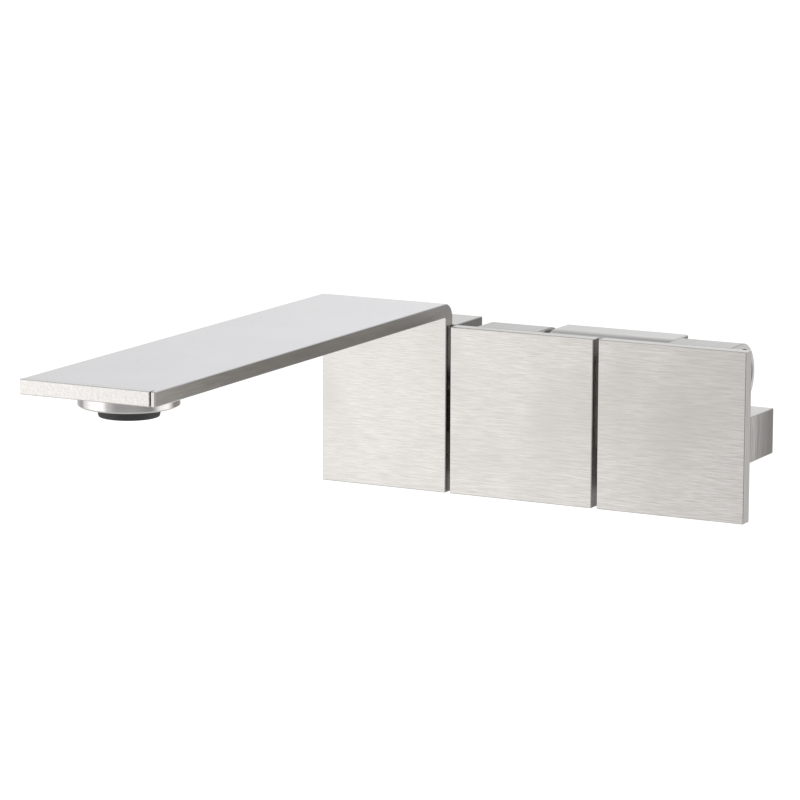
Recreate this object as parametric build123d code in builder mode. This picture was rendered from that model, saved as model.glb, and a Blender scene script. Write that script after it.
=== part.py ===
"""Wall mounted bath faucet: a folded flat-bar spout and two square flap handles on one rail.

Millimetres. The wall is the plane y = 0 and the room lies towards -y. The origin is the
middle of the wall plate's four screw holes. Hot is the left handle, cold is the right one.
Each handle hangs down when closed and swings up by a quarter turn about the hub axis.
"""
import os

from build123d import *

os.makedirs("parts", exist_ok=True)

# ---------------------------------------------------------------- driving dimensions
# Three square fronts side by side
spout_width = 49.7
spout_gap = 1.6
handle_width = 55.5
handle_height = 60.0
handle_gap = 1.9
plate_thick = 5.0
edge_break = 0.25

# Depth, from the wall outwards
wall_plate_thick = 3.0
carcass_depth = 21.5
spout_reach = 200.5
front_clearance = 0.3

# Heights
plate_low = -20.5
spout_rise = 63.1
rail_height = 16.0

# Hubs and valve
hub_radius = 11.0
hub_inset = 8.0
valve_width = 47.2
side_clearance = 1.25

# Water ways
port_radius = 5.9
port_depth = 10.0
port_spacing = 24.0
passage_radius = 3.0
seal_recess_radius = 4.8
seal_recess_depth = 1.5
seal_section = 0.75
passage_overrun = 1.0

# Threads are modelled at their nominal radius
m3_radius = 1.5
m3_head_radius = 2.75
m3_head_height = 3.0
m4_radius = 2.0
m4_head_radius = 3.5
m4_head_height = 4.0
hole_clearance = 0.15
ring_clearance = 0.05
m3_counterbore = (m3_radius + hole_clearance, m3_head_radius + hole_clearance)
m4_counterbore = (m4_radius + hole_clearance, m4_head_radius + hole_clearance)

# ---------------------------------------------------------------- places worked out from them
total_width = spout_width + spout_gap + 2 * handle_width + handle_gap
left_edge = -total_width / 2
right_edge = total_width / 2
carcass_back = -wall_plate_thick
plate_back = carcass_back - carcass_depth
plate_front = plate_back - plate_thick
carcass_front = plate_back + front_clearance
spout_tip = plate_front - spout_reach
plate_high = plate_low + handle_height
spout_under = plate_low + spout_rise
spout_top = spout_under + plate_thick
axis_y = plate_back + hub_radius
axis_z = plate_high - hub_radius
spout_x = left_edge + spout_width / 2
spout_right = left_edge + spout_width
valve_x = right_edge - handle_width - handle_gap / 2
hot_plate_x = spout_right + spout_gap + handle_width / 2
cold_plate_x = right_edge - handle_width / 2
rail_mid = rail_height / 2
half_valve = valve_width / 2

sides = {"hot": -1, "cold": 1}
plate_centres = {"hot": hot_plate_x, "cold": cold_plate_x}


def outward_plane(sign, distance):
    """A plane across the hub axis, the given distance from the valve's middle, facing outwards."""
    return Plane(
        origin=(valve_x + sign * distance, axis_y, axis_z), x_dir=(0, 1, 0), z_dir=(sign, 0, 0)
    )


# ---------------------------------------------------------------- wall plate
wall_plate_width = 136.0
wall_plate_height = 38.0
fixing_spacing_x = 104.0
fixing_spacing_z = 22.0
fixing_hole_radius = 2.75
fixing_sink_radius = 4.9
stud_x = 62.0
stud_radius = 4.0
stud_length = 9.0
port_opening_radius = 7.5
port_places = [(valve_x - port_spacing / 2, rail_mid), (valve_x + port_spacing / 2, rail_mid)]

with BuildPart() as wall_plate:
    with BuildSketch(Plane.XZ):
        RectangleRounded(wall_plate_width, wall_plate_height, 2)
        with Locations(*port_places):
            Circle(port_opening_radius, mode=Mode.SUBTRACT)
    extrude(amount=wall_plate_thick)
    with BuildSketch(Plane.XZ.offset(wall_plate_thick)):
        with Locations((-stud_x, rail_mid), (stud_x, rail_mid)):
            Circle(stud_radius)
    extrude(amount=stud_length)
    with Locations(Plane.XZ.offset(wall_plate_thick)):
        with GridLocations(fixing_spacing_x, fixing_spacing_z, 2, 2):
            CounterSinkHole(fixing_hole_radius, fixing_sink_radius, depth=wall_plate_thick)
wall_plate.part.label = "wall_plate"
export_step(wall_plate.part, "parts/wall_plate.step")

# ---------------------------------------------------------------- wall rail
rail_end_inset = 0.4
rail_half = total_width / 2 - rail_end_inset
rail_depth = carcass_back - carcass_front
inlet_y = -9.5
mixed_y = -18.0
stud_clearance = 0.1
grub_y = -8.0
grub_radius = 2.0
grub_top = rail_mid - stud_radius
plug_radius = 4.0
plug_length = 5.0
bumper_radius = 3.0
bumper_pocket = 1.85
bumper_offset = 18.0
valve_screw_offset = 20.5
box_screw_offset = 18.0
rail_screw_y = -9.0
head_pocket = 4.4

inlet_tops = [(x, inlet_y) for x, _ in port_places]
mixed_tops = [(valve_x, mixed_y), (spout_x, mixed_y)]
bumper_places = [
    (x + offset, rail_mid)
    for x in (hot_plate_x, cold_plate_x)
    for offset in (-bumper_offset, bumper_offset)
]
valve_screw_places = [(valve_x + side * valve_screw_offset, rail_screw_y) for side in (-1, 1)]
box_screw_places = [(spout_x + side * box_screw_offset, rail_screw_y) for side in (-1, 1)]

with BuildPart() as wall_rail:
    with BuildSketch(Plane.XY):
        with Locations((0, (carcass_back + carcass_front) / 2)):
            Rectangle(2 * rail_half, rail_depth)
    extrude(amount=rail_height)
    chamfer(wall_rail.edges(), edge_break)
    # Threaded inlet ports and the studs' sockets, from the back
    with BuildSketch(Plane.XZ.offset(wall_plate_thick)):
        with Locations(*port_places):
            Circle(port_radius)
    extrude(amount=port_depth, mode=Mode.SUBTRACT)
    with BuildSketch(Plane.XZ.offset(wall_plate_thick)):
        with Locations((-stud_x, rail_mid), (stud_x, rail_mid)):
            Circle(stud_radius + stud_clearance)
    extrude(amount=stud_length + stud_clearance, mode=Mode.SUBTRACT)
    # Upright passages to the valve and the spout, each with a seal recess on top
    with BuildSketch(Plane.XY.offset(rail_mid)):
        with Locations(*inlet_tops, *mixed_tops):
            Circle(passage_radius)
    extrude(amount=rail_mid, mode=Mode.SUBTRACT)
    with BuildSketch(Plane.XY.offset(rail_height)):
        with Locations(*inlet_tops, *mixed_tops):
            Circle(seal_recess_radius)
    extrude(amount=-seal_recess_depth, mode=Mode.SUBTRACT)
    # Long mixed water passage, drilled from the left end and plugged there
    with BuildSketch(Plane.YZ.offset(-rail_half)):
        with Locations((mixed_y, rail_mid)):
            Circle(passage_radius)
    extrude(amount=rail_half + valve_x + passage_radius + passage_overrun, mode=Mode.SUBTRACT)
    with BuildSketch(Plane.YZ.offset(-rail_half)):
        with Locations((mixed_y, rail_mid)):
            Circle(plug_radius)
    extrude(amount=plug_length, mode=Mode.SUBTRACT)
    # Grub screw holes underneath and bumper pockets in front
    with BuildSketch(Plane.XY):
        with Locations((-stud_x, grub_y), (stud_x, grub_y)):
            Circle(grub_radius)
    extrude(amount=grub_top + 2 * stud_clearance, mode=Mode.SUBTRACT)
    with BuildSketch(Plane.XZ.offset(-carcass_front)):
        with Locations(*bumper_places):
            Circle(bumper_radius)
    extrude(amount=-bumper_pocket, mode=Mode.SUBTRACT)
    # Screws that come up from below into the valve and the spout box
    with Locations(*[Location((x, y, 0), (180, 0, 0)) for x, y in valve_screw_places]):
        CounterBoreHole(*m3_counterbore, head_pocket, depth=rail_height)
    with Locations(*[Location((x, y, 0), (180, 0, 0)) for x, y in box_screw_places]):
        CounterBoreHole(*m4_counterbore, head_pocket, depth=rail_height)
wall_rail.part.label = "wall_rail"
export_step(wall_rail.part, "parts/wall_rail.step")

socket_width = 4.0
with BuildPart() as rail_plug:
    with BuildSketch(Plane.YZ.offset(-rail_half)):
        with Locations((mixed_y, rail_mid)):
            Circle(plug_radius)
    extrude(amount=plug_length)
    with BuildSketch(Plane.YZ.offset(-rail_half)):
        with Locations((mixed_y, rail_mid)):
            RegularPolygon(socket_width / 2, 6, major_radius=False)
    extrude(amount=plug_length / 2, mode=Mode.SUBTRACT)
rail_plug.part.label = "rail_plug"
export_step(rail_plug.part, "parts/rail_plug.step")

grub_recess = 0.3
grub_socket = 2.0
with BuildPart() as rail_grub_screws:
    with BuildSketch(Plane.XY.offset(grub_recess)):
        with Locations((-stud_x, grub_y), (stud_x, grub_y)):
            Circle(grub_radius)
            RegularPolygon(grub_socket / 2, 6, major_radius=False, mode=Mode.SUBTRACT)
    extrude(amount=grub_top - grub_recess)
rail_grub_screws.part.label = "rail_grub_screws"
export_step(rail_grub_screws.part, "parts/rail_grub_screws.step")

seal_ring_radius = seal_recess_radius - seal_section - ring_clearance
with BuildPart() as rail_seals:
    with Locations(*[(x, y, rail_height - seal_section) for x, y in inlet_tops + mixed_tops]):
        Torus(seal_ring_radius, seal_section)
rail_seals.part.label = "rail_seals"
export_step(rail_seals.part, "parts/rail_seals.step")

bumper_stand = 0.15
with BuildPart() as rest_bumpers:
    with BuildSketch(Plane.XZ.offset(-carcass_front - bumper_pocket)):
        with Locations(*bumper_places):
            Circle(bumper_radius)
    extrude(amount=bumper_pocket + bumper_stand)
rest_bumpers.part.label = "rest_bumpers"
export_step(rest_bumpers.part, "parts/rest_bumpers.step")

# ---------------------------------------------------------------- valve body
body_radius = hub_radius - front_clearance
body_low = rail_height
body_high = axis_z + body_radius
body_corner = 0.8
cartridge_bore_radius = 8.0
cartridge_base = 4.6
nut_bore_radius = 9.0
nut_seat = 18.0
chamber_radius = 4.5
valve_thread_depth = 4.0

with BuildPart() as valve_body:
    with BuildSketch(Plane.YZ.offset(valve_x - half_valve)):
        with BuildLine():
            Polyline(
                (axis_y, body_high),
                (carcass_back, body_high),
                (carcass_back, body_low),
                (carcass_front, body_low),
                (carcass_front, axis_z),
            )
            CenterArc((axis_y, axis_z), body_radius, 90, 90)
        make_face()
    extrude(amount=valve_width)
    end_faces = valve_body.faces().filter_by(Axis.X)
    fillet(end_faces.edges(), body_corner)
    for sign in sides.values():
        with BuildSketch(outward_plane(sign, 0)):
            Circle(chamber_radius)
        extrude(amount=half_valve, mode=Mode.SUBTRACT)
        with BuildSketch(outward_plane(sign, cartridge_base)):
            Circle(cartridge_bore_radius)
        extrude(amount=half_valve - cartridge_base, mode=Mode.SUBTRACT)
        with BuildSketch(outward_plane(sign, nut_seat)):
            Circle(nut_bore_radius)
        extrude(amount=half_valve - nut_seat, mode=Mode.SUBTRACT)
    with BuildSketch(Plane.XY.offset(body_low)):
        with Locations(*inlet_tops, (valve_x, mixed_y)):
            Circle(passage_radius)
    extrude(amount=axis_z - body_low, mode=Mode.SUBTRACT)
    with BuildSketch(Plane.XY.offset(body_low)):
        with Locations(*valve_screw_places):
            Circle(m3_radius)
    extrude(amount=valve_thread_depth, mode=Mode.SUBTRACT)
valve_body.part.label = "valve_body"
export_step(valve_body.part, "parts/valve_body.step")


def upright_screws(places, radius, head_radius, head_height, socket, length):
    """Socket head screws standing in the rail, heads down; places are (x, y)."""
    with BuildPart() as screws:
        with BuildSketch(Plane.XY.offset(head_pocket - head_height)):
            with Locations(*places):
                Circle(head_radius)
        extrude(amount=head_height)
        with BuildSketch(Plane.XY.offset(head_pocket)):
            with Locations(*places):
                Circle(radius)
        extrude(amount=length)
        with BuildSketch(Plane.XY.offset(head_pocket - head_height)):
            with Locations(*places):
                RegularPolygon(socket / 2, 6, major_radius=False)
        extrude(amount=head_height / 2, mode=Mode.SUBTRACT)
    return screws


m3_socket = 2.5
m4_socket = 3.0
m3_engaged = 3.5
m4_engaged = 4.5
screw_stand = rail_height - head_pocket
valve_body_screws = upright_screws(
    valve_screw_places, m3_radius, m3_head_radius, m3_head_height, m3_socket, screw_stand + m3_engaged
)
valve_body_screws.part.label = "valve_body_screws"
export_step(valve_body_screws.part, "parts/valve_body_screws.step")

# ---------------------------------------------------------------- spout box
box_right = spout_right + 1.2
box_left = left_edge + 0.5
box_width = box_right - box_left
box_thread_depth = 5.0
spout_port_z = 26.0
spout_port_radius = 4.0
spout_seal_recess = 6.1
leg_screw_heights = (27.0, 35.0)
leg_screw_places = [
    (spout_x + side * box_screw_offset, height) for side in (-1, 1) for height in leg_screw_heights
]

with BuildPart() as spout_box:
    with BuildSketch(Plane.XY.offset(rail_height)):
        with Locations(((box_left + box_right) / 2, (plate_back + carcass_back) / 2)):
            Rectangle(box_width, carcass_depth)
    extrude(amount=plate_high - rail_height)
    chamfer(spout_box.edges(), edge_break)
    with BuildSketch(Plane.XY.offset(rail_height)):
        with Locations((spout_x, mixed_y)):
            Circle(passage_radius)
    extrude(amount=spout_port_z - rail_height, mode=Mode.SUBTRACT)
    with BuildSketch(Plane.XZ.offset(-plate_back)):
        with Locations((spout_x, spout_port_z)):
            Circle(spout_port_radius)
    extrude(amount=plate_back - mixed_y - passage_radius - passage_overrun, mode=Mode.SUBTRACT)
    with BuildSketch(Plane.XZ.offset(-plate_back)):
        with Locations((spout_x, spout_port_z)):
            Circle(spout_seal_recess)
    extrude(amount=-seal_recess_depth, mode=Mode.SUBTRACT)
    with BuildSketch(Plane.XY.offset(rail_height)):
        with Locations(*box_screw_places):
            Circle(m4_radius)
    extrude(amount=box_thread_depth, mode=Mode.SUBTRACT)
    with Locations(*[Location((x, carcass_back, z), (-90, 0, 0)) for x, z in leg_screw_places]):
        CounterBoreHole(*m4_counterbore, head_pocket, depth=carcass_depth)
spout_box.part.label = "spout_box"
export_step(spout_box.part, "parts/spout_box.step")

spout_box_screws = upright_screws(
    box_screw_places, m4_radius, m4_head_radius, m4_head_height, m4_socket, screw_stand + m4_engaged
)
spout_box_screws.part.label = "spout_box_screws"
export_step(spout_box_screws.part, "parts/spout_box_screws.step")

spout_seal_ring = spout_seal_recess - seal_section - ring_clearance
with BuildPart() as spout_seal:
    with Locations(Location((spout_x, plate_back + seal_section, spout_port_z), (90, 0, 0))):
        Torus(spout_seal_ring, seal_section)
spout_seal.part.label = "spout_seal"
export_step(spout_seal.part, "parts/spout_seal.step")

leg_thread_depth = 3.5
leg_screw_engaged = 3.0
leg_head_seat = carcass_back - head_pocket
with BuildPart() as spout_screws:
    with BuildSketch(Plane.XZ.offset(-leg_head_seat - m4_head_height)):
        with Locations(*leg_screw_places):
            Circle(m4_head_radius)
    extrude(amount=m4_head_height)
    with BuildSketch(Plane.XZ.offset(-leg_head_seat)):
        with Locations(*leg_screw_places):
            Circle(m4_radius)
    extrude(amount=leg_head_seat - plate_back + leg_screw_engaged)
    with BuildSketch(Plane.XZ.offset(-leg_head_seat - m4_head_height)):
        with Locations(*leg_screw_places):
            RegularPolygon(m4_socket / 2, 6, major_radius=False)
    extrude(amount=m4_head_height / 2, mode=Mode.SUBTRACT)
spout_screws.part.label = "spout_screws"
export_step(spout_screws.part, "parts/spout_screws.step")

# ---------------------------------------------------------------- spout
bend_radius = 5.5
skin = 1.2
channel_half_width = 21.0
leg_channel_half_width = 13.0
leg_channel_low = 20.0
cap_thick = 2.5
cap_strip = 1.5
cap_seam = 0.5
aerator_back = 25.5
aerator_y = spout_tip + aerator_back
outlet_radius = 8.0

bend_y = plate_back - bend_radius
bend_z = spout_top - bend_radius
channel_back = bend_y - 2.0
channel_overlap = 1.0

with BuildPart() as spout:
    with BuildSketch(Plane.YZ.offset(left_edge)):
        with BuildLine():
            Polyline(
                (plate_back, bend_z),
                (plate_back, plate_low),
                (plate_front, plate_low),
                (plate_front, spout_under),
                (spout_tip, spout_under),
                (spout_tip, spout_top),
                (bend_y, spout_top),
            )
            CenterArc((bend_y, bend_z), bend_radius, 0, 90)
        make_face()
    extrude(amount=spout_width)
    chamfer(spout.edges(), edge_break)
    # Wide flat water channel along the bar, narrower one down the leg
    with BuildSketch(Plane.XY.offset(spout_under + skin)):
        with Locations((spout_x, (spout_tip + channel_back) / 2)):
            Rectangle(2 * channel_half_width, channel_back - spout_tip)
    extrude(amount=plate_thick - 2 * skin, mode=Mode.SUBTRACT)
    with BuildSketch(Plane.YZ.offset(spout_x - leg_channel_half_width)):
        with BuildLine():
            Polyline(
                (plate_back - skin, bend_z),
                (plate_back - skin, leg_channel_low),
                (plate_front + skin, leg_channel_low),
                (plate_front + skin, spout_under + skin),
                (channel_back - channel_overlap, spout_under + skin),
                (channel_back - channel_overlap, spout_top - skin),
                (bend_y, spout_top - skin),
            )
            CenterArc((bend_y, bend_z), bend_radius - skin, 0, 90)
        make_face()
    extrude(amount=2 * leg_channel_half_width, mode=Mode.SUBTRACT)
    # Pocket for the end cap: it leaves a strip of the right side wall showing
    with BuildSketch(Plane.XZ.offset(-spout_tip)):
        with Locations(((left_edge + spout_right - cap_strip) / 2, (spout_under + spout_top) / 2)):
            Rectangle(spout_width - cap_strip, plate_thick)
    extrude(amount=-cap_thick, mode=Mode.SUBTRACT)
    # Outlet under the tip, inlet and blind screw holes behind the leg
    with BuildSketch(Plane.XY.offset(spout_under)):
        with Locations((spout_x, aerator_y)):
            Circle(outlet_radius)
    extrude(amount=skin, mode=Mode.SUBTRACT)
    with BuildSketch(Plane.XZ.offset(-plate_back)):
        with Locations((spout_x, spout_port_z)):
            Circle(spout_port_radius)
    extrude(amount=skin, mode=Mode.SUBTRACT)
    with BuildSketch(Plane.XZ.offset(-plate_back)):
        with Locations(*leg_screw_places):
            Circle(m4_radius)
    extrude(amount=leg_thread_depth, mode=Mode.SUBTRACT)
spout.part.label = "spout"
export_step(spout.part, "parts/spout.step")

cap_right = spout_right - cap_strip - cap_seam
with BuildPart() as spout_end_cap:
    with BuildSketch(Plane.XZ.offset(-spout_tip)):
        with Locations(((left_edge + cap_right) / 2, (spout_under + spout_top) / 2)):
            Rectangle(cap_right - left_edge, plate_thick)
    extrude(amount=-cap_thick)
    chamfer(spout_end_cap.faces().sort_by(Axis.Y)[0].edges(), edge_break)
spout_end_cap.part.label = "spout_end_cap"
export_step(spout_end_cap.part, "parts/spout_end_cap.step")

# ---------------------------------------------------------------- aerator under the tip
collar_radius = 16.5
collar_height = 5.3
collar_lip = 0.5
thread_radius = 9.0
ring_height = 3.4
ring_top_radius = 10.3
ring_bottom_radius = 9.8
cup_radius = 7.5
cup_floor = 1.3
mouth_radius = 6.8
washer_thick = 1.2
washer_hole_radius = 6.0
collar_low = spout_under - collar_height
ring_low = collar_low - ring_height
housing_high = spout_under - washer_thick
aerator_plane = Plane((spout_x, aerator_y, 0))

with BuildPart() as aerator_collar:
    with BuildSketch(aerator_plane.offset(collar_low)):
        Circle(collar_radius)
        Circle(thread_radius, mode=Mode.SUBTRACT)
    extrude(amount=collar_height)
    chamfer(aerator_collar.edges().filter_by(GeomType.CIRCLE).group_by(Axis.Z)[0], collar_lip)
aerator_collar.part.label = "aerator_collar"
export_step(aerator_collar.part, "parts/aerator_collar.step")

with BuildPart() as aerator_housing:
    with BuildSketch(aerator_plane.offset(ring_low)):
        Circle(ring_bottom_radius)
    with BuildSketch(aerator_plane.offset(collar_low)):
        Circle(ring_top_radius)
    loft()
    with BuildSketch(aerator_plane.offset(collar_low)):
        Circle(thread_radius)
    extrude(amount=housing_high - collar_low)
    with BuildSketch(aerator_plane.offset(ring_low + cup_floor)):
        Circle(cup_radius)
    extrude(amount=housing_high - ring_low - cup_floor, mode=Mode.SUBTRACT)
    with BuildSketch(aerator_plane.offset(ring_low)):
        Circle(mouth_radius)
    extrude(amount=cup_floor, mode=Mode.SUBTRACT)
aerator_housing.part.label = "aerator_housing"
export_step(aerator_housing.part, "parts/aerator_housing.step")

insert_clearance = 0.05
insert_lift = 1.4
insert_low = ring_low + cup_floor + insert_lift
insert_height = 4.4
insert_hole_radius = 0.8
insert_rows = ((5.0, 12), (2.4, 6))
with BuildPart() as aerator_insert:
    with BuildSketch(aerator_plane.offset(insert_low)):
        Circle(cup_radius - insert_clearance)
        for row_radius, holes in insert_rows:
            with PolarLocations(row_radius, holes):
                Circle(insert_hole_radius, mode=Mode.SUBTRACT)
    extrude(amount=insert_height)
aerator_insert.part.label = "aerator_insert"
export_step(aerator_insert.part, "parts/aerator_insert.step")

screen_thick = 0.5
screen_pitch = 1.6
screen_hole = 1.1
screen_holes = 5
with BuildPart() as aerator_screen:
    with BuildSketch(aerator_plane.offset(ring_low + cup_floor)):
        Circle(cup_radius - insert_clearance)
        with GridLocations(screen_pitch, screen_pitch, screen_holes, screen_holes):
            Rectangle(screen_hole, screen_hole, mode=Mode.SUBTRACT)
    extrude(amount=screen_thick)
aerator_screen.part.label = "aerator_screen"
export_step(aerator_screen.part, "parts/aerator_screen.step")

with BuildPart() as aerator_washer:
    with BuildSketch(aerator_plane.offset(housing_high)):
        Circle(thread_radius)
        Circle(washer_hole_radius, mode=Mode.SUBTRACT)
    extrude(amount=washer_thick)
aerator_washer.part.label = "aerator_washer"
export_step(aerator_washer.part, "parts/aerator_washer.step")

# ---------------------------------------------------------------- quarter-turn cartridges
# Distances along the hub axis are measured outwards from the valve's middle.
base_seal_thick = 1.4
disc_thick = 2.0
disc_gap = 0.05
disc_radius = 6.5
moving_clearance = 0.3
window_radius = 4.2
window_width = 3.0
window_angle = 60.0
sleeve_radius = 7.95
sleeve_base = cartridge_base + base_seal_thick
sleeve_cup_radius = 6.6
sleeve_shoulder = 13.0
flange_radius = 8.9
flange_thick = 1.4
neck_radius = 5.9
neck_end = 23.2
stem_radius = 4.0
running_clearance = 0.05
nut_end = 23.4
nut_start = nut_seat + flange_thick
inlet_distance = port_spacing / 2
driver_start = sleeve_base + 2 * disc_thick + disc_gap
driver_clearance = 0.1
driver_end = sleeve_shoulder - driver_clearance
driver_width = 7.0
sleeve_window_inset = 1.0
sleeve_window_width = 3.6
sleeve_window_depth = 7.0
nut_key_radius = 0.8
stem_groove_radius = 3.0
stem_groove_width = 1.2
stem_groove_places = (15.2, 17.6)
stem_ring_section = 0.48
stem_ring_clearance = 0.02
thrust_radius = 8.5
thrust_clearance = 0.15
key_start = 28.0
key_flats = 6.6
hub_start = half_valve + side_clearance
hub_end = right_edge - hub_inset - valve_x
stem_end = 38.4
tapped_start = 28.5
hub_screw_seat = 41.45
cap_recess_radius = 9.1
cap_recess_depth = 2.2
cap_recess_floor = hub_end - cap_recess_depth
hub_screw_head_radius = 4.0
hub_screw_bottom_gap = 0.5
hub_screw_head_height = 3.8


def window_ring(first_angle):
    """Two opposite water windows, cut out of the sketch of a ceramic disc."""
    for start in (first_angle, first_angle + 180):
        middle_line = CenterArc((0, 0), window_radius, start - window_angle / 2, window_angle)
        SlotArc(middle_line, window_width, mode=Mode.SUBTRACT)


def make_base_seal(side, sign):
    with BuildPart() as base_seal:
        with BuildSketch(outward_plane(sign, cartridge_base)):
            Circle(sleeve_radius)
            Circle(chamber_radius, mode=Mode.SUBTRACT)
        extrude(amount=base_seal_thick)
    base_seal.part.label = side + "_base_seal"
    export_step(base_seal.part, f"parts/{side}_base_seal.step")


def make_fixed_disc(side, sign):
    with BuildPart() as fixed_disc:
        with BuildSketch(outward_plane(sign, sleeve_base)):
            Circle(disc_radius)
            window_ring(0)
        extrude(amount=disc_thick)
    fixed_disc.part.label = side + "_fixed_disc"
    export_step(fixed_disc.part, f"parts/{side}_fixed_disc.step")


def make_moving_disc(side, sign):
    with BuildPart() as moving_disc:
        with BuildSketch(outward_plane(sign, sleeve_base + disc_thick + disc_gap)):
            Circle(disc_radius - moving_clearance)
            window_ring(90)
        extrude(amount=disc_thick)
    moving_disc.part.label = side + "_moving_disc"
    export_step(moving_disc.part, f"parts/{side}_moving_disc.step")


def make_sleeve(side, sign):
    with BuildPart() as sleeve:
        with BuildSketch(outward_plane(sign, sleeve_base)):
            Circle(sleeve_radius)
        extrude(amount=nut_seat - sleeve_base)
        with BuildSketch(outward_plane(sign, nut_seat)):
            Circle(flange_radius)
        extrude(amount=flange_thick)
        with BuildSketch(outward_plane(sign, nut_start)):
            Circle(neck_radius)
        extrude(amount=neck_end - nut_start)
        with BuildSketch(outward_plane(sign, sleeve_base)):
            Circle(sleeve_cup_radius)
        extrude(amount=sleeve_shoulder - sleeve_base, mode=Mode.SUBTRACT)
        with BuildSketch(outward_plane(sign, sleeve_base)):
            Circle(stem_radius + running_clearance)
        extrude(amount=neck_end - sleeve_base, mode=Mode.SUBTRACT)
        # Water window on the underside, over the inlet passage
        with BuildSketch(Plane.XY.offset(axis_z - cartridge_bore_radius)):
            with Locations((valve_x + sign * (inlet_distance - sleeve_window_inset), axis_y)):
                Rectangle(sleeve_window_width, sleeve_window_depth)
        extrude(amount=cartridge_bore_radius, mode=Mode.SUBTRACT)
    sleeve.part.label = side + "_cartridge_sleeve"
    export_step(sleeve.part, f"parts/{side}_cartridge_sleeve.step")


def make_nut(side, sign):
    with BuildPart() as nut:
        with BuildSketch(outward_plane(sign, nut_start)):
            Circle(nut_bore_radius)
            Circle(neck_radius + running_clearance, mode=Mode.SUBTRACT)
            with PolarLocations((nut_bore_radius + neck_radius) / 2, 4):
                Circle(nut_key_radius, mode=Mode.SUBTRACT)
        extrude(amount=nut_end - nut_start)
    nut.part.label = side + "_cartridge_nut"
    export_step(nut.part, f"parts/{side}_cartridge_nut.step")


def make_stem(side, sign):
    with BuildPart() as stem:
        with BuildSketch(outward_plane(sign, driver_start)):
            Circle(sleeve_cup_radius - moving_clearance)
            Rectangle(2 * sleeve_cup_radius, driver_width, mode=Mode.INTERSECT)
        extrude(amount=driver_end - driver_start)
        with BuildSketch(outward_plane(sign, driver_end)):
            Circle(stem_radius)
        extrude(amount=key_start - driver_end)
        with BuildSketch(outward_plane(sign, key_start)):
            Circle(stem_radius)
            Rectangle(2 * stem_radius, key_flats, mode=Mode.INTERSECT)
        extrude(amount=stem_end - key_start)
        for place in stem_groove_places:
            with BuildSketch(outward_plane(sign, place - stem_groove_width / 2)):
                Circle(stem_radius + running_clearance)
                Circle(stem_groove_radius, mode=Mode.SUBTRACT)
            extrude(amount=stem_groove_width, mode=Mode.SUBTRACT)
        with BuildSketch(outward_plane(sign, tapped_start)):
            Circle(m4_radius)
        extrude(amount=stem_end - tapped_start, mode=Mode.SUBTRACT)
    stem.part.label = side + "_stem"
    export_step(stem.part, f"parts/{side}_stem.step")


def make_stem_seals(side, sign):
    with BuildPart() as stem_seals:
        for place in stem_groove_places:
            with Locations(outward_plane(sign, place).location):
                Torus(stem_groove_radius + stem_ring_section + stem_ring_clearance, stem_ring_section)
    stem_seals.part.label = side + "_stem_seals"
    export_step(stem_seals.part, f"parts/{side}_stem_seals.step")


def make_thrust_washer(side, sign):
    with BuildPart() as thrust_washer:
        with BuildSketch(outward_plane(sign, nut_end)):
            Circle(thrust_radius)
            Circle(stem_radius + moving_clearance, mode=Mode.SUBTRACT)
        extrude(amount=hub_start - nut_end - thrust_clearance)
    thrust_washer.part.label = side + "_thrust_washer"
    export_step(thrust_washer.part, f"parts/{side}_thrust_washer.step")


# ---------------------------------------------------------------- handles
plate_screw_drop = 7.0
plate_screw_distances = (31.5, 42.0)
plate_thread_depth = 3.5
plate_screw_engaged = 3.3
cap_clearance = 0.3
cap_sink = 0.2
cap_boss_radius = 3.95
cap_boss_height = 0.8
hub_screw_socket = 3.0


def plate_screw_places(sign):
    return [(valve_x + sign * distance, axis_z - plate_screw_drop) for distance in plate_screw_distances]


def make_hub(side, sign):
    hub_low = min(valve_x + sign * hub_start, valve_x + sign * hub_end)
    with BuildPart() as hub:
        # Round barrel whose upper front quarter is filled out square against the plate
        with BuildSketch(Plane.YZ.offset(hub_low)):
            with Locations((axis_y, axis_z)):
                Circle(hub_radius)
            with Locations((axis_y - hub_radius / 2, axis_z + hub_radius / 2)):
                Rectangle(hub_radius, hub_radius)
        extrude(amount=hub_end - hub_start)
        chamfer(hub.faces().filter_by(Axis.X).edges(), edge_break)
        with BuildSketch(outward_plane(sign, hub_start)):
            Circle(stem_radius + running_clearance)
        extrude(amount=key_start - hub_start, mode=Mode.SUBTRACT)
        with BuildSketch(outward_plane(sign, key_start)):
            Circle(stem_radius + running_clearance)
            Rectangle(4 * stem_radius, key_flats + 2 * running_clearance, mode=Mode.INTERSECT)
        extrude(amount=stem_end + running_clearance - key_start, mode=Mode.SUBTRACT)
        with BuildSketch(outward_plane(sign, stem_end)):
            Circle(m4_radius + hole_clearance)
        extrude(amount=hub_end - stem_end, mode=Mode.SUBTRACT)
        with BuildSketch(outward_plane(sign, hub_screw_seat)):
            Circle(hub_screw_head_radius)
        extrude(amount=hub_end - hub_screw_seat, mode=Mode.SUBTRACT)
        with BuildSketch(outward_plane(sign, cap_recess_floor)):
            Circle(cap_recess_radius)
        extrude(amount=cap_recess_depth, mode=Mode.SUBTRACT)
        with BuildSketch(Plane.XZ.offset(-axis_y)):
            with Locations(*plate_screw_places(sign)):
                Circle(m3_radius + hole_clearance)
        extrude(amount=hub_radius, mode=Mode.SUBTRACT)
        with BuildSketch(Plane.XZ.offset(-axis_y)):
            with Locations(*plate_screw_places(sign)):
                Circle(m3_head_radius + hole_clearance)
        extrude(amount=-hub_radius, mode=Mode.SUBTRACT)
    hub.part.label = side + "_handle_hub"
    export_step(hub.part, f"parts/{side}_handle_hub.step")


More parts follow.
